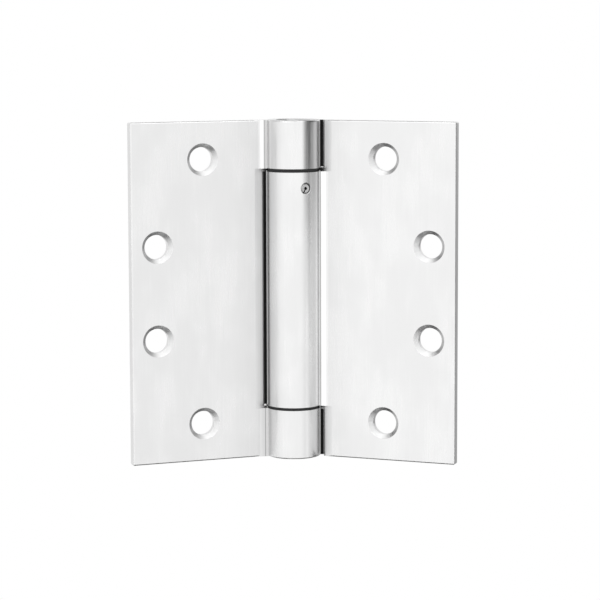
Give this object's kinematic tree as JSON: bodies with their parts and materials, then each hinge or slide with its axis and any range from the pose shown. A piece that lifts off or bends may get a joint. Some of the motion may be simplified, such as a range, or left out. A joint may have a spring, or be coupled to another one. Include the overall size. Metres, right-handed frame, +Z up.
{
  "type": "door hinge",
  "caption": "Self-closing full mortise butt hinge: countersunk leaves, curled knuckles, torsion spring in the long centre knuckle, winding plug with a key socket and a rolled tension pin.",
  "frame": {"origin": "on the frame leaf's mounting face, midway between its screw holes", "axes": "+Z up the hinge pin, +Y out of the frame leaf's mounting face into the door frame, +X from the origin to the pin axis"},
  "size_m": [0.1016, 0.0473, 0.1142],
  "materials": {
    "satin_steel": "satin, fine brushing along the leaves",
    "turned_steel": "turned",
    "pin_steel": "rolled, dull",
    "spring_steel": "oiled",
    "bush_bronze": "sintered, oiled",
    "black_polymer": "matt"
  },
  "bodies": {
    "frame_half": {"frame_leaf": "satin_steel", "top_cap": "satin_steel", "top_bush": "bush_bronze", "top_thrust_washer": "black_polymer", "bottom_thrust_washer": "black_polymer", "bottom_pintle": "turned_steel", "pintle_pin": "pin_steel", "bottom_cap": "satin_steel"},
    "door_half": {"door_leaf": "satin_steel", "bottom_bush": "bush_bronze", "torsion_spring": "spring_steel"},
    "winding_plug": {"adjusting_plug": "turned_steel"},
    "locking_pin": {"tension_pin": "pin_steel"}
  },
  "joints": [
    {"name": "leaf_swing", "type": "hinge", "parent": "frame_half", "child": "door_half", "pos_m": [0.04, -0.0042, 0], "axis": [0, 0, 1], "range_deg": [-137, 43], "stiffness_Nm_per_rad": 0.5, "deforming": ["torsion_spring"]},
    {"name": "plug_turn", "type": "hinge", "parent": "door_half", "child": "winding_plug", "pos_m": [0.04, -0.0042, 0.0345], "axis": [0, 0, 1], "range_deg": [0, 15], "deforming": ["torsion_spring"]},
    {"name": "pin_pull", "type": "slide", "parent": "door_half", "child": "locking_pin", "axis": [0.1132, -0.9936, 0], "range_m": [0, 0.006]}
  ]
}
